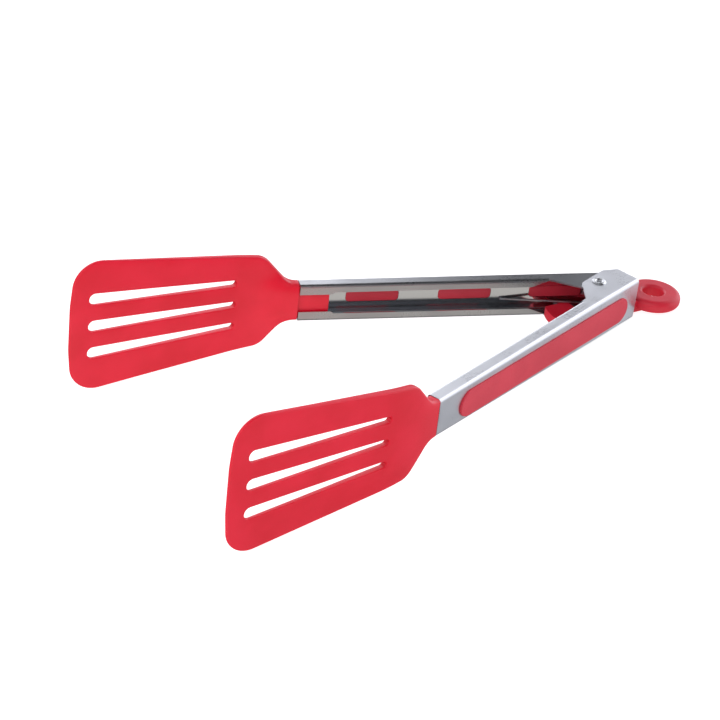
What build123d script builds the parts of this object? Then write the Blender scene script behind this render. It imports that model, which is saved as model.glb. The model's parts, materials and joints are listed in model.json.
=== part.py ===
from build123d import *
from math import cos, radians, sin
import os

# Spring loaded kitchen tongs with slotted blades, standing on edge and sprung fully open.
# Lengths are in millimetres and angles in degrees. The tongs' own frame has the pivot at its
# origin, Z along the pivot and +X towards the tips. Each arm is drawn in an arm frame: X along
# the arm, Y outwards away from the other arm, Z along the pivot.

# How far each arm stands from the centre line.
HALF_OPEN = 19.17

# The arms: U-shaped channels of stainless sheet, with ears round the pivot.
SHEET = 0.8
BACK = 13.06                # pivot axis to the channel's outer back face
FLANGE = 7.6                # depth of the channel's side flanges
FRONT = BACK - FLANGE
HEEL = -18.83               # rear end of the back wall
EAR_END = 25.0              # where the straight ear part becomes the tapered channel
NECK = 156.6                # front end of the channel
OUTER_EAR_FRONT = 21.1      # where the outer arm's ear meets the flange's front edge
OUTER_WIDTH = 23.0
INNER_WIDTH = 21.1          # the inner arm's ears nest inside the outer arm's
NECK_WIDTH = 20.4
BEND = 1.8                  # outer radius of the back bends
LIP_BEND = 1.5              # outer radius of the bends into the lips
LIP = 4.2
LIP_RUNOUT = 9.0            # length of the lips' slanted ends
CRIMP = 16.7                # length of the wider lips that hold the head's tang
CRIMP_LIP = 5.3
WINDOWS = ((4.0, 32.8), (53.5, 82.0), (103.0, 131.0))
WINDOW_HEIGHT = 6.2
WINDOW_RADIUS = 2.0

# The struck tabs that the lock's barbs catch, one in each arm's lower flange.
TAB_AT = (15.5, 8.5)
TAB_WIDTH = 2.0
TAB_TOP = -7.6
TAB_REACH = 3.0

# The rubber grips.
GRIP_ENDS = (-9.0, 139.3)
GRIP_HEIGHT = 14.4
GRIP_DROP = 0.9             # how far the pad sits below the back's middle
GRIP_PROUD = 0.9
GRIP_EDGE = 0.45
KEY_GAP = 0.08

# The slotted blades.
BLADE_RISE = 1.93           # heading at the neck, outwards
BLADE_FALL = -15.21         # heading of the straight part, inwards
BLADE_BEND = 36.8           # length over which the heading changes
BLADE_LENGTH = 121.7
BLADE_THICK = (4.6, 3.7, 1.5)   # at the neck, at the end of the bend and at the tip
BLADE_EDGE = 0.55
SHOULDER = (18.5, 24.86)    # distance from the neck and half width
SHOULDER_ROOT = 5.5
TIP_SIDE = (118.6, 36.69)
TIP_CENTRE = 121.15
TIP_RADIUS = 14.0
SHOULDER_RADIUS = 10.0
ROOT_RADIUS = 9.0
SLOT_RUN = (33.0, 111.3)
SLOT_WIDTH = (3.7, 6.2)     # at the neck end and at the tip end
SLOT_SPREAD = (12.0, 14.8)  # how far the outer slots stand from the middle one
BOSS = 24.0
TANG_DEPTH = 5.2
TANG_GAP = 0.1

# The pivot: a hollow rivet, a spacer sleeve and a torsion spring.
PIN_RADIUS = 2.0
PIN_CLEARANCE = 0.05
HEAD_RADIUS = 3.7
HEAD_HEIGHT = 0.85
HEAD_EDGE = 0.6
HEAD_GAP = 0.05
DIMPLE = (1.3, 2.2)         # radius and depth of the hollow in each rivet head
SLEEVE_RADIUS = 3.0
SLEEVE_HALF = 9.65
WIRE = 1.3
COIL_RADIUS = 4.75          # to the middle of the wire
LEG_HEIGHTS = (-3.3, 4.3)   # of the inner arm's leg and the outer arm's leg
LEG_REACH = 48.0
LEG_GAP = 0.05

# The lock slider with its hanging ring, pushed fully forward.
LOCK_TRAVEL = 4.0
LOCK_BOTTOM = -9.4
LOCK_PLATE_TOP = -7.0
LOCK_HEAD_TOP = -4.3
LOCK_HEAD = (9.0, 23.0, 26.0)    # rear face, side and middle of the convex front
LOCK_NOTCH = 20.3           # front end of the notches behind the barbs
LOCK_HALF = 12.0
BARB = (16.3, 10.15)        # rear tip and inner face of the barbs
SHANK_HALF = 7.0
SHANK_END = -12.0
STEM_HALF = 4.2
STEM_TOP = -3.0
SLOT_CLEARANCE = 0.3
RING_RADIUS = 14.8
RING_HOLE = 5.5
RING_THICK = 6.8
RING_AT = (-39.4, -4.9)     # X and Z of the ring's centre
RING_EDGE = 2.9
RING_HOLE_EDGE = 1.7


def rounded_outline(points, rounds):
    """A closed polygon whose corners near the given places are rounded."""
    face = make_face(Polyline(*points, close=True).edges())
    for place, radius in rounds:
        face = fillet(face.vertices().sort_by_distance((*place, 0))[0], radius)
    return face


def section(width, front, back, back_radius, front_radius=0):
    """A channel's cross-section, X outwards and Y along the pivot."""
    face = Pos((front + back) / 2, 0) * Rectangle(back - front, width)
    face = fillet(face.vertices().group_by(Axis.X)[-1], back_radius)
    if front_radius:
        face = fillet(face.vertices().group_by(Axis.X)[0], front_radius)
    return face


def bar(start, end, widths, *shape):
    """A bar along the arm whose section changes width evenly."""
    ends = zip((start, end), widths)
    return loft([Plane.YZ.offset(u) * section(width, *shape) for u, width in ends], ruled=True)


def across(face, low, high):
    """A sketch of the arm seen from outside, X along it and Y along the pivot, made solid."""
    return extrude(Plane.XZ.offset(-high) * face, high - low)


def ear_outline(inner):
    """The side view of the ears and of the flange up to the tapered channel."""
    heel = [(-18.25, 0.08), (-10.8, -5.9)] if inner else [(-19.7, 3.5), (-20.5, -1.1), (-12.8, -5.9)]
    toe = (7.3, -5.6)
    front = [] if inner else [(OUTER_EAR_FRONT, FRONT)]
    points = [(HEEL, BACK + 1), *heel, toe, *front, (EAR_END, FRONT), (EAR_END, BACK + 1)]
    rounds = [(toe, 3.0), (heel[-1], 2.5), (heel[-2], 1.5)]
    return rounded_outline(points, rounds)


def mouth(width):
    """The open side of the channel between its lips, and all of it where there are none."""
    half_ear = width / 2 - SHEET
    half_lip = width / 2 - LIP
    half_end = NECK_WIDTH / 2 - LIP
    half_crimp = NECK_WIDTH / 2 - CRIMP_LIP
    crimp = NECK - CRIMP
    side = [(EAR_END - 1, half_ear), (EAR_END, half_ear), (EAR_END + LIP_RUNOUT, half_lip)]
    side += [(crimp - 1.5, half_end), (crimp, half_crimp), (NECK + 1, half_crimp)]
    return make_face(Polyline(*side, *[(u, -z) for u, z in reversed(side)], close=True).edges())


def window(ends, shrink=0.0):
    """One of the windows in the back wall, which a key of the grip fills."""
    start, end = ends
    size = (end - start - 2 * shrink, WINDOW_HEIGHT - 2 * shrink)
    return Pos((start + end) / 2, 0) * RectangleRounded(*size, WINDOW_RADIUS - shrink)


def make_arm(inner):
    """A channel arm with ears, windows, lips, a crimped end and a struck tab."""
    width = INNER_WIDTH if inner else OUTER_WIDTH
    hollow = width - 2 * SHEET
    neck_hollow = NECK_WIDTH - 2 * SHEET
    low = -10.0
    ears = bar(HEEL - 5, EAR_END, (width, width), low, BACK, BEND)
    ears &= extrude(ear_outline(inner), width, both=True)
    arm = ears + bar(EAR_END, NECK, (width, NECK_WIDTH), FRONT, BACK, BEND, LIP_BEND)
    inside = BACK - SHEET
    arm -= bar(HEEL - 6, EAR_END, (hollow, hollow), low - 1, inside, BEND - SHEET)
    arm -= bar(EAR_END, NECK, (hollow, neck_hollow), FRONT + SHEET, inside, BEND - SHEET, LIP_BEND - SHEET)
    arm -= across(mouth(width), FRONT - 1, FRONT + 2 * SHEET)
    for ends in WINDOWS:
        arm -= across(window(ends), inside - 1, BACK + 1)
    arm -= Cylinder(PIN_RADIUS + PIN_CLEARANCE, 2 * OUTER_WIDTH)
    return arm + make_tab(width) - strike_window(width)


def make_tab(width):
    """The tab struck inwards from the lower flange."""
    u, v = TAB_AT
    foot = -width / 2 + SHEET / 2
    return Pos(u, v, (foot + TAB_TOP) / 2) * Box(TAB_WIDTH, SHEET, TAB_TOP - foot)


def strike_window(width):
    """The hole that the tab's metal came from."""
    u, v = TAB_AT
    middle = v + SHEET / 2 + TAB_REACH / 2
    return Pos(u, middle, -width / 2) * Box(TAB_WIDTH, TAB_REACH, 3 * SHEET)


def make_grip():
    """A soft pad on the arm's back, with keys that fill the windows."""
    start, end = GRIP_ENDS
    shape = Pos((start + end) / 2, -GRIP_DROP) * SlotOverall(end - start, GRIP_HEIGHT)
    pad = across(shape, BACK, BACK + GRIP_PROUD)
    pad = fillet(pad.faces().sort_by(Axis.Y)[-1].edges(), GRIP_EDGE)
    for ends in WINDOWS:
        pad += across(window(ends, KEY_GAP), BACK - SHEET, BACK + GRIP_PROUD / 2)
    return pad


def blade_side():
    """The blade's side view: a bend from the neck, then straight and tapering to the tip."""
    neck, root, tip = BLADE_THICK
    rise, fall = radians(BLADE_RISE), radians(BLADE_FALL)
    radius = BLADE_BEND / radians(BLADE_RISE - BLADE_FALL)
    straight = BLADE_LENGTH - BLADE_BEND
    outer_bend = JernArc((NECK, BACK), (cos(rise), sin(rise)), radius, BLADE_FALL - BLADE_RISE)
    outer_run = Line(outer_bend @ 1, outer_bend @ 1 + Vector(cos(fall), sin(fall)) * straight)
    inward = Vector(sin(fall), -cos(fall))
    bend_end = outer_bend @ 1 + inward * root
    tip_end = outer_run @ 1 + inward * tip
    start = Vector(NECK, BACK - neck)
    inner_bend = Spline(start, bend_end, tangents=[(cos(rise), sin(rise)), tip_end - bend_end])
    edges = [outer_bend, outer_run, Line(outer_run @ 1, tip_end), Line(tip_end, bend_end)]
    return make_face([*edges, inner_bend, Line(start, (NECK, BACK))])


def blade_outline():
    """The blade seen square on: a narrow neck, round shoulders, straight sides, a bowed tip."""
    half = NECK_WIDTH / 2
    side = [(-6, half), (SHOULDER_ROOT, half), SHOULDER, TIP_SIDE]
    upper = Polyline(*side)
    lower = Polyline(*[(x, -z) for x, z in side])
    tip = ThreePointArc(TIP_SIDE, (TIP_CENTRE, 0), (TIP_SIDE[0], -TIP_SIDE[1]))
    face = make_face([*upper.edges(), *lower.edges(), tip, Line((-6, half), (-6, -half))])
    for (x, z), radius in zip(side[1:], (ROOT_RADIUS, SHOULDER_RADIUS, TIP_RADIUS)):
        for sign in (1, -1):
            face = fillet(face.vertices().sort_by_distance((x, sign * z, 0))[0], radius)
    return face


def blade_slot(row):
    """One tapered slot with round ends: row is -1, 0 or 1."""
    ends = []
    for run, width, spread in zip(SLOT_RUN, SLOT_WIDTH, SLOT_SPREAD):
        inset = width / 2 if run == SLOT_RUN[0] else -width / 2
        ends.append((Vector(run + inset, row * spread), width / 2))
    return make_hull([*ends_circle(*ends[0]), *ends_circle(*ends[1])])


def ends_circle(centre, radius):
    """The edge of a slot's round end."""
    return (Pos(centre.X, centre.Y) * CenterArc((0, 0), radius, 0, 360)).edges()


def make_head():
    """A one-piece moulded blade with a neck boss and a tang held in the arm."""
    fall = radians(BLADE_FALL)
    square_on = Plane((NECK, BACK, 0), x_dir=(cos(fall), sin(fall), 0), z_dir=(sin(fall), -cos(fall), 0))
    half = TIP_SIDE[1] + 5
    blade = extrude(blade_side(), half, both=True)
    blade &= extrude(square_on * blade_outline(), half, both=True)
    tip_and_sides = [edge for edge in blade.edges() if edge.center().X > NECK + 1]
    blade = fillet(tip_and_sides, BLADE_EDGE)
    for row in (-1, 0, 1):
        blade -= extrude(square_on * blade_slot(row), half, both=True)
    return blade + neck_boss() + tang()


def neck_boss():
    """The thick neck, flush with the channel, that fades into the blade's inner face."""
    side = [(NECK, BACK - 2), (NECK, FRONT), (NECK + 4, FRONT)]
    side += [(NECK + BOSS, BACK - 5.0), (NECK + BOSS, BACK - 4.4)]
    boss = extrude(make_face(Polyline(*side, close=True).edges()), NECK_WIDTH / 2, both=True)
    return fillet(boss.edges().filter_by(Axis.Z).sort_by_distance((NECK + 4, FRONT, 0))[0], 6.0)


def tang():
    """The end of the head that the channel's crimped lips hold."""
    inside = BACK - SHEET - TANG_GAP
    width = NECK_WIDTH - 2 * SHEET - 2 * TANG_GAP
    shape = (inside - TANG_DEPTH, inside, BEND - SHEET + TANG_GAP, LIP_BEND - SHEET)
    return bar(NECK - CRIMP + 1, NECK, (width, width), *shape)


def make_rivet():
    """A hollow rivet along the pivot, with a domed head at each end."""
    head_face = OUTER_WIDTH / 2 + HEAD_GAP
    rivet = Cylinder(PIN_RADIUS, 2 * head_face + HEAD_HEIGHT)
    for sign in (1, -1):
        head = Pos(0, 0, sign * (head_face + HEAD_HEIGHT / 2)) * Cylinder(HEAD_RADIUS, HEAD_HEIGHT)
        rim = head.edges().sort_by(Axis.Z)[-1 if sign > 0 else 0]
        rivet += fillet(rim, HEAD_EDGE)
    radius, depth = DIMPLE
    for sign in (1, -1):
        rivet -= Pos(0, 0, sign * (head_face + HEAD_HEIGHT)) * Cylinder(radius, 2 * depth)
    return rivet


def make_sleeve():
    """The spacer that keeps the ears apart and carries the spring's coil."""
    return Cylinder(SLEEVE_RADIUS, 2 * SLEEVE_HALF) - Cylinder(PIN_RADIUS, 3 * SLEEVE_HALF)


def spring_leg(side, height):
    """A straight leg from the coil's rim to the inside of an arm's back wall."""
    reach = BACK - SHEET - WIRE / 2 - LEG_GAP
    turn = radians(HALF_OPEN)
    foot = Vector(LEG_REACH * cos(turn) - reach * sin(turn), LEG_REACH * sin(turn) + reach * cos(turn))
    start = Vector(0, COIL_RADIUS)
    line = Line((start.X, side * start.Y, height), (foot.X, side * foot.Y, height))
    return sweep(Plane(line @ 0, z_dir=line % 0) * Circle(WIRE / 2), path=line)


def make_spring():
    """The torsion spring as a plain sleeve for its coil, with its two legs."""
    low, high = LEG_HEIGHTS
    coil = Cylinder(COIL_RADIUS + WIRE / 2, high - low + WIRE)
    coil -= Cylinder(COIL_RADIUS - WIRE / 2, 2 * (high - low))
    spring = Pos(0, 0, (low + high) / 2) * coil
    return spring + spring_leg(-1, low) + spring_leg(1, high)


def flat(face, low, high):
    """A sketch seen along the pivot, made solid between two heights."""
    return extrude(Pos(0, 0, low) * face, high - low)


def make_lock():
    """The lock slider: a barbed head, a slotted shank, a stem and the ring to pull or hang it by."""
    rear, side, middle = LOCK_HEAD
    barb_tip, barb_inner = BARB
    ring_x, ring_z = RING_AT
    edge = [(side, LOCK_HALF), (barb_tip, LOCK_HALF), (barb_tip, barb_inner), (LOCK_NOTCH, barb_inner)]
    edge += [(LOCK_NOTCH, SHANK_HALF), (SHANK_END, SHANK_HALF)]
    edge += [(SHANK_END - 3, STEM_HALF), (ring_x + 9, STEM_HALF)]
    front = ThreePointArc(edge[0], (middle, 0), (side, -LOCK_HALF))
    lines = [*Polyline(*edge).edges(), *Polyline(*[(x, -y) for x, y in edge]).edges()]
    back = Line(edge[-1], (edge[-1][0], -STEM_HALF))
    lock = flat(make_face([front, *lines, back]), LOCK_BOTTOM, LOCK_PLATE_TOP)
    nose = Polyline((side, LOCK_HALF), (rear, LOCK_HALF), (rear, -LOCK_HALF), (side, -LOCK_HALF))
    lock += flat(make_face([front, *nose.edges()]), LOCK_PLATE_TOP, LOCK_HEAD_TOP)
    stem_front, stem_back = SHANK_END - 4, ring_x + 9
    stem = Box(stem_front - stem_back, 2 * STEM_HALF, STEM_TOP - LOCK_BOTTOM)
    stem = chamfer(stem.edges().filter_by(Axis.Y).sort_by(Axis.X)[-2:].sort_by(Axis.Z)[-1], 3.0)
    lock += Pos((stem_front + stem_back) / 2, 0, (STEM_TOP + LOCK_BOTTOM) / 2) * stem
    reach = SLEEVE_RADIUS + SLOT_CLEARANCE
    slot = Pos(LOCK_TRAVEL / 2, 0) * SlotOverall(LOCK_TRAVEL + 2 * reach, 2 * reach)
    lock -= flat(slot, LOCK_BOTTOM - 1, LOCK_PLATE_TOP + 1)
    ring = fillet(Cylinder(RING_RADIUS, RING_THICK).edges().filter_by(GeomType.CIRCLE), RING_EDGE)
    lock += Pos(ring_x, 0, ring_z) * ring
    lock -= Pos(ring_x, 0, ring_z) * Cylinder(RING_HOLE, 4 * RING_THICK)
    rims = lock.edges().filter_by(GeomType.CIRCLE).filter_by(lambda edge: abs(edge.radius - RING_HOLE) < 0.01)
    return fillet(rims, RING_HOLE_EDGE)


def on_arm(shape, side):
    """Turns a piece from the arm frame to where the outer arm (1) or the inner arm (-1) stands."""
    if side < 0:
        shape = mirror(shape, about=Plane.XZ)
    return Rot(0, 0, side * HALF_OPEN) * shape


def lowest(shape, tilt):
    """The height of a piece's lowest point when the tongs lean by tilt."""
    return (Rot(0, -tilt, 0) * shape).bounding_box().min.Z


def resting_tilt(head, arm):
    """The lean at which a blade's lower corner and the handle's end touch the surface together."""
    low, high = 3.0, 8.0
    for _ in range(16):
        middle = (low + high) / 2
        low, high = (low, middle) if lowest(head, middle) > lowest(arm, middle) else (middle, high)
    return (low + high) / 2


def make_pieces():
    """Every piece in the tongs' own frame, by node name."""
    head, grip = make_head(), make_grip()
    return {
        "outer_arm": on_arm(make_arm(inner=False), 1),
        "inner_arm": on_arm(make_arm(inner=True), -1),
        "outer_head": on_arm(head, 1),
        "inner_head": on_arm(head, -1),
        "outer_grip": on_arm(grip, 1),
        "inner_grip": on_arm(grip, -1),
        "pivot_rivet": make_rivet(),
        "pivot_sleeve": make_sleeve(),
        "torsion_spring": make_spring(),
        "lock_slider": make_lock(),
    }


def place(pieces):
    """The move that stands the tongs on a level surface, centred over the origin."""
    tilt = resting_tilt(pieces["outer_head"], pieces["outer_arm"])
    lean = Rot(0, -tilt, 0)
    box = Compound([lean * piece for piece in pieces.values()]).bounding_box()
    return tilt, Pos(-box.center().X, -box.center().Y, -box.min.Z) * lean


PIECES = make_pieces()
TILT, PLACE = place(PIECES)

os.makedirs("parts", exist_ok=True)
for name, piece in PIECES.items():
    export_step(PLACE * piece, f"parts/{name}.step")
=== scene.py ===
import json
from math import asin, atan2, cos, pi, radians, sin

import bmesh
import bpy
import numpy as np
from mathutils import Matrix, Vector
from mathutils.geometry import delaunay_2d_cdt


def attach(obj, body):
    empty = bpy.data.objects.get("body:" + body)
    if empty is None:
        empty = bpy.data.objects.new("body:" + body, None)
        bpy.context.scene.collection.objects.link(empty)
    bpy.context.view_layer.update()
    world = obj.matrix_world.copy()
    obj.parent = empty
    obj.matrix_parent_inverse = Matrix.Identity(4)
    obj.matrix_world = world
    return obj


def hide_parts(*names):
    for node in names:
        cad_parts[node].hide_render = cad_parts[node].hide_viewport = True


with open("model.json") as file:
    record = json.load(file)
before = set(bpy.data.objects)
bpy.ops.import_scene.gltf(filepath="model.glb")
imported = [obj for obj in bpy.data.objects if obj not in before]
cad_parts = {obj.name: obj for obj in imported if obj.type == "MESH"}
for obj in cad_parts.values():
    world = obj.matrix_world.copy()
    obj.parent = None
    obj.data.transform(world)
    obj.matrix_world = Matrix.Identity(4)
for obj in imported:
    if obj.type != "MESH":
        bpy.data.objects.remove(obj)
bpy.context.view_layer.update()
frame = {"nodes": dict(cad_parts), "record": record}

# Open kitchen tongs on a white studio floor. Lengths are in metres. The pivot's place and lean
# come from the record's hinge, and an arm frame has X along the arm, Y outwards and Z along the
# pivot, as in the CAD.

MM = 0.001
joints = {joint["name"]: joint for joint in frame["record"]["behaviour"]["joints"]}
PIVOT = Vector(joints["outer_swing"]["pos_m"])
PIVOT_AXIS = Vector(joints["outer_swing"]["axis"]).normalized()
TONGS = Matrix.Translation(PIVOT) @ Vector((0, 0, 1)).rotation_difference(PIVOT_AXIS).to_matrix().to_4x4()
HALF_OPEN = radians(19.17)

# Sizes in millimetres, in an arm's frame. They repeat the CAD's, apart from the blade's edges and
# thickness, the pad's edges and crown, and the gaps, which are finer here.
BACK = 13.06
SHEET = 0.8
FLANGE = 7.6
NECK = 156.6
NECK_WIDTH = 20.4
OUTER_WIDTH = 23.0                  # across the outer arm's channel, at the pivot
INNER_WIDTH = 21.1                  # the same on the inner arm, which nests inside
TAPER_START = 25.0                  # where the channel starts to narrow towards the neck
WINDOWS = ((4.0, 32.8), (53.5, 82.0), (103.0, 131.0))
WINDOW_SIZE = (6.2, 2.0)            # height and corner radius
GRIP_ENDS = (-9.0, 139.3)
GRIP_HEIGHT = 14.4
GRIP_DROP = 0.9
GRIP_PROUD = 0.9
GRIP_CROWN = 0.3
GRIP_EDGE = 0.42
KEY_GAP = 0.08                      # between a pad's key and its window
KEY_EDGE = 0.3
KEY_ROOT = 0.3                      # how far a key reaches into its pad
BLADE_RISE = radians(1.93)
BLADE_FALL = radians(-15.21)
BLADE_BEND = 36.8
BLADE_LENGTH = 121.7
BLADE_THICKNESS = ((0, 36, 80, 121), (4.6, 3.7, 2.45, 1.6))     # at distances from the neck
BLADE_EDGES = ((0, 8, 24, 121), (1.5, 1.2, 0.85, 0.62))         # edge radius, the same way
# The blade's outline: distance from the neck, half width and corner radius.
BLADE_SIDE = ((5.5, NECK_WIDTH / 2, 9), (18.5, 24.86, 10), (118.6, 36.69, 14), (120.9, 12, 60))
NECK_FADE = ((2.0, 26.0), (7.0, 15.5))      # where the deep neck ends, along and across
SEAM = 0.35                         # gap between the steel and the blade at the neck
SLOT_RUN = (33.0, 111.3)
SLOT_WIDTH = (3.7, 6.2)
SLOT_SPREAD = (12.0, 14.8)
TANG = (15.7, 5.2)                  # length and depth
TANG_GAP = 0.1                      # between the tang and the channel
TANG_EDGES = (0.7, 1.1)             # corner radii inside the mouth and against the back
COIL_RADIUS = 4.75
WIRE_RADIUS = 0.65
LEG_HEIGHTS = (-3.3, 4.3)           # inner arm's leg, outer arm's leg
LEG_REACH = 48.0
LEG_GAP = 0.1                       # between a leg and the channel's back
RIVET_FACE = 11.55                  # where the rivet's heads sit on the ears


# ---- Node helpers ---------------------------------------------------------------------------

class Shader:
    """A material's or world's node tree with short calls for the nodes used here."""

    def __init__(self, owner):
        owner.use_nodes = True
        self.tree = owner.node_tree
        self.tree.nodes.clear()

    def node(self, kind, **settings):
        made = self.tree.nodes.new(kind)
        for key, value in settings.items():
            setattr(made, key, value)
        return made

    def feed(self, socket, value):
        if isinstance(value, bpy.types.NodeSocket):
            self.tree.links.new(value, socket)
        elif value is not None:
            socket.default_value = value

    def math(self, operation, a, b=None, c=None, clamp=False):
        made = self.node("ShaderNodeMath", operation=operation, use_clamp=clamp)
        for socket, value in zip(made.inputs, (a, b, c)):
            self.feed(socket, value)
        return made.outputs[0]

    def spread(self, value, low, high, to_low=0.0, to_high=1.0, smooth=True):
        kind = "SMOOTHSTEP" if smooth else "LINEAR"
        made = self.node("ShaderNodeMapRange", interpolation_type=kind)
        for socket, item in zip(made.inputs, (value, low, high, to_low, to_high)):
            self.feed(socket, item)
        return made.outputs[0]

    def mix(self, factor, a, b):
        made = self.node("ShaderNodeMix", data_type="RGBA")
        for name, value in (("Factor", factor), ("A", a), ("B", b)):
            sockets = [s for s in made.inputs if s.name == name and s.enabled]
            self.feed(sockets[0], value)
        return [s for s in made.outputs if s.enabled][0]

    def place(self, scale=(1, 1, 1), turn=0.0):
        """Object coordinates, stretched: a node's object sits at the frame's origin."""
        where = self.node("ShaderNodeTexCoord").outputs["Object"]
        mapping = self.node("ShaderNodeMapping", vector_type="POINT")
        self.feed(mapping.inputs["Vector"], where)
        mapping.inputs["Rotation"].default_value = (0, 0, turn)
        mapping.inputs["Scale"].default_value = scale
        return mapping.outputs[0]

    def noise(self, where, scale, detail=3.0, roughness=0.5):
        made = self.node("ShaderNodeTexNoise")
        self.feed(made.inputs["Vector"], where)
        made.inputs["Scale"].default_value = scale
        made.inputs["Detail"].default_value = detail
        made.inputs["Roughness"].default_value = roughness
        return made.outputs["Fac"]

    def bump(self, height, distance, strength=1.0):
        made = self.node("ShaderNodeBump")
        made.inputs["Strength"].default_value = strength
        made.inputs["Distance"].default_value = distance
        self.feed(made.inputs["Height"], height)
        return made.outputs[0]

    def surface(self, **inputs):
        """The Principled shader, its inputs given by name with underscores for spaces."""
        shader = self.node("ShaderNodeBsdfPrincipled")
        for name, value in inputs.items():
            self.feed(shader.inputs[name.replace("_", " ")], value)
        out = self.node("ShaderNodeOutputMaterial")
        self.feed(out.inputs["Surface"], shader.outputs[0])
        return shader


def material(name):
    made = bpy.data.materials.new(name)
    return made, Shader(made)


def grey(value):
    return (value, value, value, 1.0)


# ---- Materials ------------------------------------------------------------------------------

def arm_matrix(side):
    """From an arm's frame to the world: side 1 is the outer arm, -1 the inner one, 0 the tongs."""
    return TONGS @ Matrix.Rotation(side * HALF_OPEN, 4, "Z")


def arm_place(sh, side):
    """Object coordinates turned into an arm's frame, in metres."""
    back = arm_matrix(side).inverted()
    mapping = sh.node("ShaderNodeMapping", vector_type="POINT")
    sh.feed(mapping.inputs["Vector"], sh.node("ShaderNodeTexCoord").outputs["Object"])
    mapping.inputs["Location"].default_value = back.translation
    mapping.inputs["Rotation"].default_value = back.to_euler()
    return mapping.outputs[0]


def channel_inside(sh, side, width):
    """1 on the channel's inner faces and 0 on its outer ones."""
    split = sh.node("ShaderNodeSeparateXYZ")
    sh.feed(split.inputs[0], arm_place(sh, side))
    u, v, z = split.outputs
    half = sh.spread(u, TAPER_START * MM, NECK * MM, (width / 2 - 0.5 * SHEET) * MM,
                     (NECK_WIDTH / 2 - 0.5 * SHEET) * MM, smooth=False)
    level = sh.math("MULTIPLY", v, float(side))
    deep = sh.math("LESS_THAN", level, (BACK - 0.5 * SHEET) * MM)
    between = sh.math("LESS_THAN", sh.math("ABSOLUTE", z), half)
    behind = sh.math("GREATER_THAN", level, (BACK - FLANGE + 0.5 * SHEET) * MM)
    return sh.math("MULTIPLY", sh.math("MULTIPLY", deep, between), behind)


GRAIN = (60, 4500, 4500)            # noise scale, so the grain lines run along the arm
CHANNEL_ROUGHNESS = 0.11            # inside a channel, which is polished


def brushed_steel(name, side, tint, width=0.0, rough=0.3):
    """Brushed stainless steel. With a width, the inside of a channel that wide is polished."""
    made, sh = material(name)
    turn = side * HALF_OPEN
    lines = sh.noise(sh.place(GRAIN, -turn), 1.0, 2.0)
    smudge = sh.noise(sh.place(), 55.0, 3.0)
    color = sh.mix(lines, tuple(c * 0.93 for c in tint) + (1,), tint + (1,))
    satin = sh.math("ADD", sh.spread(lines, 0.3, 0.7, rough - 0.04, rough + 0.04),
                    sh.spread(smudge, 0.35, 0.7, 0.0, 0.05))
    if width:
        inside = channel_inside(sh, side, width)
        polish = sh.math("MULTIPLY", sh.math("SUBTRACT", satin, CHANNEL_ROUGHNESS), inside)
        satin = sh.math("SUBTRACT", satin, polish)
    along = sh.node("ShaderNodeCombineXYZ")
    along.inputs[0].default_value = cos(turn)
    along.inputs[1].default_value = sin(turn)
    sh.surface(Base_Color=color, Metallic=1.0, Roughness=satin, Anisotropic=0.85,
               Anisotropic_Rotation=0.25, Tangent=along.outputs[0],
               Normal=sh.bump(lines, 0.000002, 0.08))
    return made


def moulded(name, low, high, roughness, grain):
    """Moulded plastic or rubber with a slightly uneven colour and a fine satin grain."""
    made, sh = material(name)
    cloud = sh.noise(sh.place(), 40.0, 3.0)
    fine = sh.noise(sh.place(), 1600.0, 2.0)
    color = sh.mix(sh.spread(cloud, 0.3, 0.7), low + (1,), high + (1,))
    rough = sh.spread(fine, 0.3, 0.7, roughness - 0.05, roughness + 0.06)
    sh.surface(Base_Color=color, Roughness=rough, Normal=sh.bump(fine, grain, 0.5))
    return made


STEEL_TINT = (0.70, 0.71, 0.73)
finishes = {
    "outer_arm": brushed_steel("steel_outer", 1, STEEL_TINT, OUTER_WIDTH),
    "inner_arm": brushed_steel("steel_inner", -1, STEEL_TINT, INNER_WIDTH),
    "blade": moulded("blade_nylon_red", (0.68, 0.004, 0.022), (0.76, 0.007, 0.032), 0.38, 0.00001),
    "grip": moulded("grip_rubber_red", (0.58, 0.026, 0.05), (0.65, 0.034, 0.062), 0.56, 0.00002),
    "lock": moulded("lock_plastic_red", (0.57, 0.01, 0.028), (0.65, 0.014, 0.037), 0.44, 0.00001),
    "rivet": brushed_steel("rivet_steel_polished", 0, (0.74, 0.75, 0.76), rough=0.34),
    "spring": brushed_steel("spring_wire_steel", 0, (0.5, 0.5, 0.51), rough=0.25),
}


def finish_node(name, finish):
    for slot in frame["nodes"][name].material_slots:
        slot.material = finishes[finish]


for side in ("outer", "inner"):
    finish_node(side + "_arm", side + "_arm")
finish_node("lock_slider", "lock")
finish_node("pivot_sleeve", "rivet")


# ---- Mesh helpers ---------------------------------------------------------------------------

def rounded(corners, step=1.2, closed=True):
    """Points along a polygon whose corners (x, y, radius) are rounded."""
    corners = [(Vector(c[:2]), c[2]) for c in corners]
    count = len(corners)
    points = []
    for i, (corner, radius) in enumerate(corners):
        if not closed and i in (0, count - 1):
            points.append(corner.copy())
            continue
        before = (corners[i - 1][0] - corner).normalized()
        after = (corners[(i + 1) % count][0] - corner).normalized()
        half = before.angle(after) / 2
        trim = radius / np.tan(half)
        centre = corner + (before + after).normalized() * radius / sin(half)
        start, end = corner + before * trim, corner + after * trim
        pieces = max(2, int(radius * (pi - 2 * half) / step) + 1, int((pi - 2 * half) / 0.3) + 1)
        swing = (start - centre).angle_signed(end - centre)
        for k in range(pieces + 1):
            spoke = Matrix.Rotation(-(swing * k / pieces), 2) @ (start - centre)
            points.append(centre + spoke)
    filled = []
    pairs = list(zip(points, points[1:] + points[:1])) if closed else list(zip(points, points[1:]))
    for a, b in pairs:
        steps = max(1, int((b - a).length / (2.5 * step)) + 1) if (b - a).length > 2 * step else 1
        filled += [a.lerp(b, k / steps) for k in range(steps)]
    return filled if closed else filled + [points[-1]]


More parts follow.
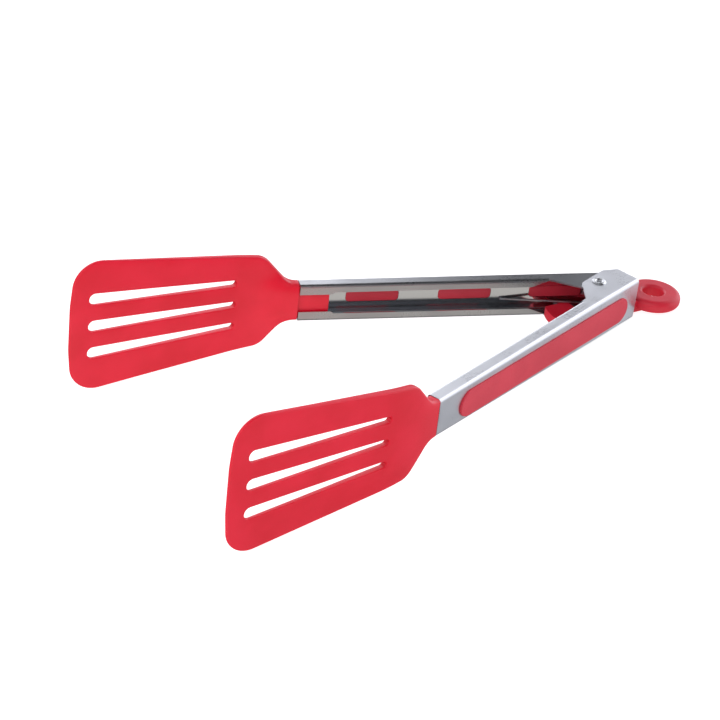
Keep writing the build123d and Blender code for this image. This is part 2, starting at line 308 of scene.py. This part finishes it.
def inside(point, loop):
    """True if a point is inside a closed loop."""
    x, y = point
    hit = False
    for a, b in zip(loop, loop[1:] + loop[:1]):
        if (a[1] > y) != (b[1] > y) and x < (b[0] - a[0]) * (y - a[1]) / (b[1] - a[1]) + a[0]:
            hit = not hit
    return hit


def leftward(loop, closed):
    """The unit normals on the left of a run of points, where the material is."""
    count = len(loop)
    normals = []
    for i in range(count):
        before = loop[i - 1] if closed or i else loop[0]
        after = loop[(i + 1) % count] if closed or i < count - 1 else loop[-1]
        along = (after - before).normalized()
        normals.append(Vector((-along.y, along.x)))
    return normals


EDGE_STEPS = (0.0, 0.08, 0.3, 0.62, 1.0)


def slab(outline, holes, radius, where, spacing, closed=True, hole_edge=1.0):
    """A plate with holes and rounded edges. The outline runs with the material on its left, and so
    does each hole. radius(x, y) is the edge's radius, and where(x, y, sunk, face) is the place of
    a point that lies sunk below face 0 or 1. An outline that isn't closed ends in a flat cut."""
    points, sinks, edges, rims = [], [], [], []
    lines = [(outline, closed)] + [(hole, True) for hole in holes]
    for line, shut in lines:
        share = 1.0 if line is outline else hole_edge
        normals = leftward(line, shut)
        rows = []
        for step in EDGE_STEPS:
            first = len(points)
            for point, normal in zip(line, normals):
                r = radius(*point) * share
                points.append(point + normal * r * step)
                sinks.append(r - r * (1 - (1 - step) ** 2) ** 0.5)
            row = list(range(first, len(points)))
            rows.append(row)
            edges += list(zip(row, row[1:])) + ([(row[-1], row[0])] if shut else [])
        rim = rows[0][:]
        if not shut:
            start, end = points[rows[-1][-1]], points[rows[-1][0]]
            steps = max(2, int((end - start).length / spacing))
            first = len(points)
            for k in range(1, steps):
                points.append(start.lerp(end, k / steps))
                sinks.append(0.0)
            middle = list(range(first, len(points)))
            cut = [row[-1] for row in rows] + middle + [row[0] for row in reversed(rows)]
            edges += list(zip(cut, cut[1:]))
            rim += cut[1:-1]
        rims.append(rim)
    borders = [[points[i] for i in rim] for rim in rims]
    taken = np.array([tuple(p) for p in points])
    low, high = taken.min(axis=0), taken.max(axis=0)
    for x in np.arange(low[0] + spacing / 2, high[0], spacing):
        for y in np.arange(low[1] + spacing / 2, high[1], spacing):
            if ((taken - (x, y)) ** 2).sum(axis=1).min() < (0.75 * spacing) ** 2:
                continue
            if inside((x, y), borders[0]) and not any(inside((x, y), hole) for hole in borders[1:]):
                points.append(Vector((x, y)))
                sinks.append(0.0)
    flat, _, triangles, originals, _, _ = delaunay_2d_cdt(points, edges, [], 0, 1e-6)
    home = {old: new for new, olds in enumerate(originals) for old in olds}
    kept = []
    for triangle in triangles:
        centre = sum((flat[i] for i in triangle), Vector((0, 0))) / len(triangle)
        if inside(centre, borders[0]) and not any(inside(centre, hole) for hole in borders[1:]):
            kept.append(tuple(triangle))
    count = len(flat)
    sunk = [sinks[olds[0]] if olds else 0.0 for olds in originals]
    places = [where(p[0], p[1], sunk[i], face) for face in (0, 1) for i, p in enumerate(flat)]
    faces = kept + [tuple(count + i for i in reversed(face)) for face in kept]
    for rim in rims:
        rim = [home[i] for i in rim]
        faces += [(a, b, b + count, a + count) for a, b in zip(rim, rim[1:] + rim[:1])]
    return places, faces


def skin(loops):
    """A closed solid through a row of equal loops of points."""
    size = len(loops[0])
    places = [point for loop in loops for point in loop]
    faces = [tuple(range(size)), tuple(reversed(range(len(places) - size, len(places))))]
    for row in range(len(loops) - 1):
        for i in range(size):
            j = (i + 1) % size
            faces.append((row * size + i, row * size + j, (row + 1) * size + j, (row + 1) * size + i))
    return places, faces


def lathe(profile, turns=72):
    """A closed solid turned about Z from (radius, height) points that start and end on the axis."""
    ring = profile[1:-1]
    places = [(0, 0, profile[0][1]), (0, 0, profile[-1][1])]
    for k in range(turns):
        angle = 2 * pi * k / turns
        places += [(r * cos(angle), r * sin(angle), h) for r, h in ring]
    size = len(ring)
    faces = []
    for k in range(turns):
        a, b = 2 + k * size, 2 + (k + 1) % turns * size
        faces.append((0, a, b))
        faces.append((1, b + size - 1, a + size - 1))
        faces += [(a + i, a + i + 1, b + i + 1, b + i) for i in range(size - 1)]
    return places, faces


def smooth_line(points, pieces=5):
    """A Catmull-Rom curve through points."""
    points = [Vector(p) for p in points]
    line = []
    for i in range(len(points) - 1):
        p0, p1, p2 = points[max(i - 1, 0)], points[i], points[i + 1]
        p3 = points[min(i + 2, len(points) - 1)]
        for k in range(pieces):
            t = k / pieces
            line.append(0.5 * (2 * p1 + (p2 - p0) * t + (2 * p0 - 5 * p1 + 4 * p2 - p3) * t * t
                               + (3 * p1 - p0 - 3 * p2 + p3) * t ** 3))
    return line + [points[-1]]


def tube(path, radius, sides=14):
    """A round wire along a path, with rounded ends."""
    path = [Vector(p) for p in path]
    loops = []
    side = None
    for i, point in enumerate(path):
        along = (path[min(i + 1, len(path) - 1)] - path[max(i - 1, 0)]).normalized()
        if side is None:
            side = along.orthogonal().normalized()
        side = (side - along * side.dot(along)).normalized()
        other = along.cross(side)
        rings = [(0.0, 1.0)]
        if i == 0:
            rings = [(-0.9, 0.35), (-0.6, 0.8), (0.0, 1.0)]
        if i == len(path) - 1:
            rings = [(0.0, 1.0), (0.6, 0.8), (0.9, 0.35)]
        for shift, size in rings:
            centre = point + along * shift * radius
            loops.append([centre + (side * cos(a) + other * sin(a)) * radius * size
                          for a in (2 * pi * k / sides for k in range(sides))])
    return skin(loops)


def build(name, solids, finish, body, side=0):
    """Makes a piece from solids given in millimetres: side 1 or -1 is an arm's frame, 0 the tongs'."""
    turn = arm_matrix(side)
    flip = -1 if side < 0 else 1
    bm = bmesh.new()
    for places, faces in solids:
        verts = [bm.verts.new(turn @ (Vector((x, flip * y, z)) * MM)) for x, y, z in places]
        for face in faces:
            bm.faces.new([verts[i] for i in face])
    bmesh.ops.recalc_face_normals(bm, faces=bm.faces)
    mesh = bpy.data.meshes.new(name)
    bm.to_mesh(mesh)
    bm.free()
    mesh.shade_smooth()
    mesh.set_sharp_from_angle(angle=radians(42))
    mesh.materials.append(finish)
    piece = bpy.data.objects.new(name, mesh)
    bpy.context.collection.objects.link(piece)
    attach(piece, body)
    return piece


# ---- Blades ---------------------------------------------------------------------------------

def blade_table():
    """The blade's outer face seen from the side: distance square on, X, Y and heading."""
    along = Vector((cos(BLADE_FALL), sin(BLADE_FALL)))
    place = Vector((NECK, BACK))
    step = 0.4
    rows = []
    for k in range(int((BLADE_LENGTH + 3) / step)):
        s = k * step
        heading = BLADE_RISE + (BLADE_FALL - BLADE_RISE) * min(s / BLADE_BEND, 1)
        rows.append(((place - Vector((NECK, BACK))).dot(along), place.x, place.y, heading))
        place = place + Vector((cos(heading), sin(heading))) * step
    return np.array(rows)


BLADE = blade_table()


def fade(value, start, end):
    """1 before start, 0 after end, with a smooth change between them."""
    t = min(max((value - start) / (end - start), 0.0), 1.0)
    return 1 - t * t * (3 - 2 * t)


def blade_thickness(x, z):
    """The blade thins towards the tip. Its neck is as deep as the channel and melts into it."""
    plain = float(np.interp(x, *BLADE_THICKNESS))
    along, across = NECK_FADE
    return plain + (FLANGE - plain) * fade(x, *along) * fade(abs(z), *across)


def blade_edge(x, z):
    return float(np.interp(x, *BLADE_EDGES))


def blade_place(x, z, sunk, face):
    u, v, heading = (float(np.interp(x, BLADE[:, 0], BLADE[:, k])) for k in (1, 2, 3))
    depth = blade_thickness(x, z) - sunk if face else sunk
    return (u + sin(heading) * depth, v - cos(heading) * depth, z)


def slot_outline(row):
    """A tapered slot with round ends, its material on the left."""
    ends = []
    for run, width, spread, sign in zip(SLOT_RUN, SLOT_WIDTH, SLOT_SPREAD, (1, -1)):
        ends.append((Vector((run + sign * width / 2, row * spread)), width / 2))
    (near, r0), (far, r1) = ends
    line = far - near
    lean = asin((r0 - r1) / line.length)
    heading = atan2(line.y, line.x)
    points = []
    for centre, radius, start in ((far, r1, heading), (near, r0, heading + pi)):
        spread = pi / 2 + (-lean if start == heading else lean)
        for k in range(17):
            angle = start + spread - 2 * spread * k / 16
            points.append(centre + Vector((cos(angle), sin(angle))) * radius)
    filled = []
    for a, b in zip(points, points[1:] + points[:1]):
        steps = max(1, int((b - a).length / 3.0))
        filled += [a.lerp(b, k / steps) for k in range(steps)]
    return filled


def make_blade(side, name):
    half = NECK_WIDTH / 2
    lower = [(SEAM, -half, 0)] + [(x, -z, r) for x, z, r in BLADE_SIDE]
    corners = lower + [(x, -z, r) for x, z, r in reversed(lower)]
    outline = rounded(corners, closed=False)
    slots = [slot_outline(row) for row in (-1, 0, 1)]
    blade = slab(outline, slots, blade_edge, blade_place, 3.0, closed=False, hole_edge=0.5)
    length, depth = TANG
    mouth_edge, back_edge = TANG_EDGES
    top = BACK - SHEET - TANG_GAP
    wide = NECK_WIDTH - 2 * SHEET - 2 * TANG_GAP
    profile = rounded([(top - depth, -wide / 2, mouth_edge), (top, -wide / 2, back_edge),
                       (top, wide / 2, back_edge), (top - depth, wide / 2, mouth_edge)], step=0.4)
    middle = top - depth / 2
    loops = []
    for u, shrink in ((-length, 0.9), (-length + 0.15, 0.96), (-length + 0.6, 1.0), (0.5, 1.0)):
        loops.append([(NECK + u, middle + (p.x - middle) * shrink, p.y * shrink) for p in profile])
    body = name.split("_")[0]
    piece = build(name, [blade, skin(loops)], finishes["blade"], body, side)
    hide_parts(body + "_head")


# ---- Grips ----------------------------------------------------------------------------------

def grip_place(x, z, sunk, face):
    """The pad's face is slightly crowned, and its back lies on the steel."""
    crown = GRIP_CROWN * (1 - ((z + GRIP_DROP) / (GRIP_HEIGHT / 2)) ** 2)
    return (x, BACK - 0.05 if face else BACK + GRIP_PROUD + crown - sunk, z)


def key_place(x, z, sunk, face):
    return (x, BACK - SHEET + sunk if face else BACK + KEY_ROOT, z)


def make_grip(side, name):
    start, end = GRIP_ENDS
    half = GRIP_HEIGHT / 2
    box = [(start, -half), (end, -half), (end, half), (start, half)]
    outline = rounded([(x, z - GRIP_DROP, half - 0.01) for x, z in box])
    solids = [slab(outline, [], lambda x, z: GRIP_EDGE, grip_place, 2.4)]
    height, corner = WINDOW_SIZE
    high = height / 2 - KEY_GAP
    for left, right in WINDOWS:
        near, far = left + KEY_GAP, right - KEY_GAP
        box = [(near, -high), (far, -high), (far, high), (near, high)]
        key = rounded([(x, z, corner - KEY_GAP) for x, z in box])
        solids.append(slab(key, [], lambda x, z: KEY_EDGE, key_place, 2.0))
    body = name.split("_")[0]
    piece = build(name, solids, finishes["grip"], body, side)
    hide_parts(body + "_grip")


# ---- Rivet and spring -----------------------------------------------------------------------

def make_rivet():
    """A hollow rivet with a rolled rim and a sunk middle at each end."""
    rim = [(1.2, -1.3), (1.28, -0.35), (1.45, 0.2), (1.95, 0.6), (2.65, 0.8), (3.3, 0.62),
           (3.68, 0.3), (3.66, 0.05), (3.45, 0.0)]
    upper = [(p.x, RIVET_FACE + p.y) for p in smooth_line(rim)]
    upper = [(0, RIVET_FACE - 1.45), (0.8, RIVET_FACE - 1.42)] + upper + [(2.0, RIVET_FACE - 0.02)]
    lower = [(r, -h) for r, h in reversed(upper)]
    piece = build("rivet", [lathe(upper + lower)], finishes["rivet"], "pivot")
    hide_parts("pivot_rivet")


def make_spring():
    """A coil of round wire on the sleeve, with a straight leg to each arm."""
    low, high = LEG_HEIGHTS
    reach = BACK - SHEET - WIRE_RADIUS - LEG_GAP
    feet = []
    for side in (-1, 1):
        foot = Matrix.Rotation(side * HALF_OPEN, 2) @ Vector((LEG_REACH, side * reach))
        feet.append(foot)
    turns = int((high - low) / (2 * WIRE_RADIUS + 0.01)) + 0.5
    steps = int(turns * 40)
    coil = []
    for k in range(steps + 1):
        angle = -pi / 2 - 2 * pi * turns * k / steps
        coil.append((COIL_RADIUS * cos(angle), COIL_RADIUS * sin(angle), low + (high - low) * k / steps))
    piece = build("spring_coil", [tube(coil, WIRE_RADIUS)], finishes["spring"], "pivot")
    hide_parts("torsion_spring")
    for side, height, foot, body in ((-1, low, feet[0], "inner"), (1, high, feet[1], "outer")):
        start = Vector((0, side * COIL_RADIUS))
        bend = start.lerp(foot, 0.93)
        tip = foot + (foot - start).normalized().orthogonal() * side * -0.2
        line = (start, start.lerp(foot, 0.3), start.lerp(foot, 0.6), bend, tip)
        path = [(p.x, p.y, height) for p in line]
        build("spring_leg_" + body, [tube(path, WIRE_RADIUS)], finishes["spring"], body)


for side, body in ((1, "outer"), (-1, "inner")):
    make_blade(side, body + "_blade")
    make_grip(side, body + "_pad")
make_rivet()
make_spring()


# ---- Studio ---------------------------------------------------------------------------------

def direction(azimuth, elevation):
    """A unit vector from degrees: azimuth from +X towards +Y, elevation above the horizon."""
    a, e = radians(azimuth), radians(elevation)
    return (cos(e) * cos(a), cos(e) * sin(a), sin(e))


# The zones' places and first strengths were fitted to how bright the steel is in the photograph,
# and then changed. Each row is azimuth, elevation, half width and brightness.
COOL = (0.965, 0.98, 1.06)
WARM = (1.05, 1.0, 0.93)
SKY_ZONES = (
    (-100, 10, 30, 6.5),
    (-100, 30, 30, 5.6),
    (-100, -10, 30, 0.8),
    (-160, 10, 30, 3.0),
    (180, 30, 30, 1.9),
    (140, 10, 30, 1.4),
    (160, -10, 30, 0.75),
    (180, -10, 30, 0.4),
    (-160, -35, 30, 0.35),
    (150, -60, 30, 0.2),
    (-20, 25, 45, 0.7),
    (50, 32, 45, 0.75),
)
TABLE_ZONES = ((80, -32, 32, 0.58),)
GLOOM = 0.016                       # between the zones
BRIGHTEST = 2.1                     # a cap, so that steel burns out less where it mirrors a zone


def zones(sh, toward, rows):
    """The brightness of soft round zones of a studio, added up and capped."""
    total = None
    for azimuth, elevation, width, strength in rows:
        dot = sh.node("ShaderNodeVectorMath", operation="DOT_PRODUCT")
        sh.feed(dot.inputs[0], toward)
        dot.inputs[1].default_value = direction(azimuth, elevation)
        lobe = sh.spread(dot.outputs["Value"], cos(radians(width)), 1.0, 0.0, strength)
        total = lobe if total is None else sh.math("ADD", total, lobe)
    return sh.math("MINIMUM", sh.math("ADD", total, GLOOM), BRIGHTEST)


def build_world():
    """A studio of soft bright and dark zones, which the steel mirrors."""
    world = bpy.data.worlds.new("studio")
    bpy.context.scene.world = world
    sh = Shader(world)
    toward = sh.node("ShaderNodeTexCoord").outputs["Generated"]
    both = sh.node("ShaderNodeAddShader")
    for socket, rows, tint in zip(both.inputs, (SKY_ZONES, TABLE_ZONES), (COOL, WARM)):
        background = sh.node("ShaderNodeBackground")
        background.inputs["Color"].default_value = (*tint, 1.0)
        sh.feed(background.inputs["Strength"], zones(sh, toward, rows))
        sh.feed(socket, background.outputs[0])
    out = sh.node("ShaderNodeOutputWorld")
    sh.feed(out.inputs["Surface"], both.outputs[0])


LIT_POINT = Vector((0.03, 0, 0.03))
LIGHTS = (      # name, azimuth, elevation, distance, size and power
    ("key", 75, 66, 1.2, 0.9, 3.0),
    ("fill", 12, 36, 1.3, 1.0, 7.0),
)


def area_light(name, azimuth, elevation, distance, size, power):
    """A square soft light that faces the tongs, and that the steel doesn't mirror."""
    light = bpy.data.lights.new(name, "AREA")
    light.size = size
    light.energy = power
    lamp = bpy.data.objects.new(name, light)
    lamp.location = Vector(direction(azimuth, elevation)) * distance + LIT_POINT
    lamp.rotation_euler = (LIT_POINT - lamp.location).to_track_quat("-Z", "Y").to_euler()
    lamp.visible_glossy = False
    bpy.context.collection.objects.link(lamp)


FLOOR_REACH = 6.0
FLOOR_GAP = 0.0002                  # below the tongs


def build_floor():
    """A white floor that the steel doesn't mirror, so the studio's dark zones show in it."""
    mesh = bpy.data.meshes.new("floor")
    corners = [(x * FLOOR_REACH, y * FLOOR_REACH, 0) for x, y in ((-1, -1), (1, -1), (1, 1), (-1, 1))]
    mesh.from_pydata(corners, [], [(0, 1, 2, 3)])
    floor = bpy.data.objects.new("floor", mesh)
    floor.location.z = -FLOOR_GAP
    bpy.context.collection.objects.link(floor)
    made, sh = material("floor_white")
    sh.surface(Base_Color=grey(0.5), Roughness=0.9, Specular_IOR_Level=0.0,
               Emission_Color=grey(1.0), Emission_Strength=0.88)
    mesh.materials.append(made)
    floor.visible_glossy = False


# The photograph's camera: its place, where it looks, and its roll about that line.
CAMERA_PLACE = (0.52848, 0.73373, 0.58452)
CAMERA_FORWARD = (-0.46746, -0.70240, -0.53677)
CAMERA_ROLL = radians(1.9)
CAMERA_LENS = 107.82


def build_camera():
    camera = bpy.data.cameras.new("camera")
    camera.lens = CAMERA_LENS
    camera.sensor_width = 36.0
    camera.clip_end = 20.0
    eye = bpy.data.objects.new("camera", camera)
    turn = Vector(CAMERA_FORWARD).to_track_quat("-Z", "Y").to_matrix()
    turn = turn @ Matrix.Rotation(CAMERA_ROLL, 3, "Z")
    eye.matrix_world = Matrix.Translation(CAMERA_PLACE) @ turn.to_4x4()
    bpy.context.collection.objects.link(eye)
    bpy.context.scene.camera = eye


build_world()
build_floor()
build_camera()
for light in LIGHTS:
    area_light(*light)
view = bpy.context.scene.view_settings
view.view_transform = "Standard"
view.look = "None"

bpy.context.view_layer.update()
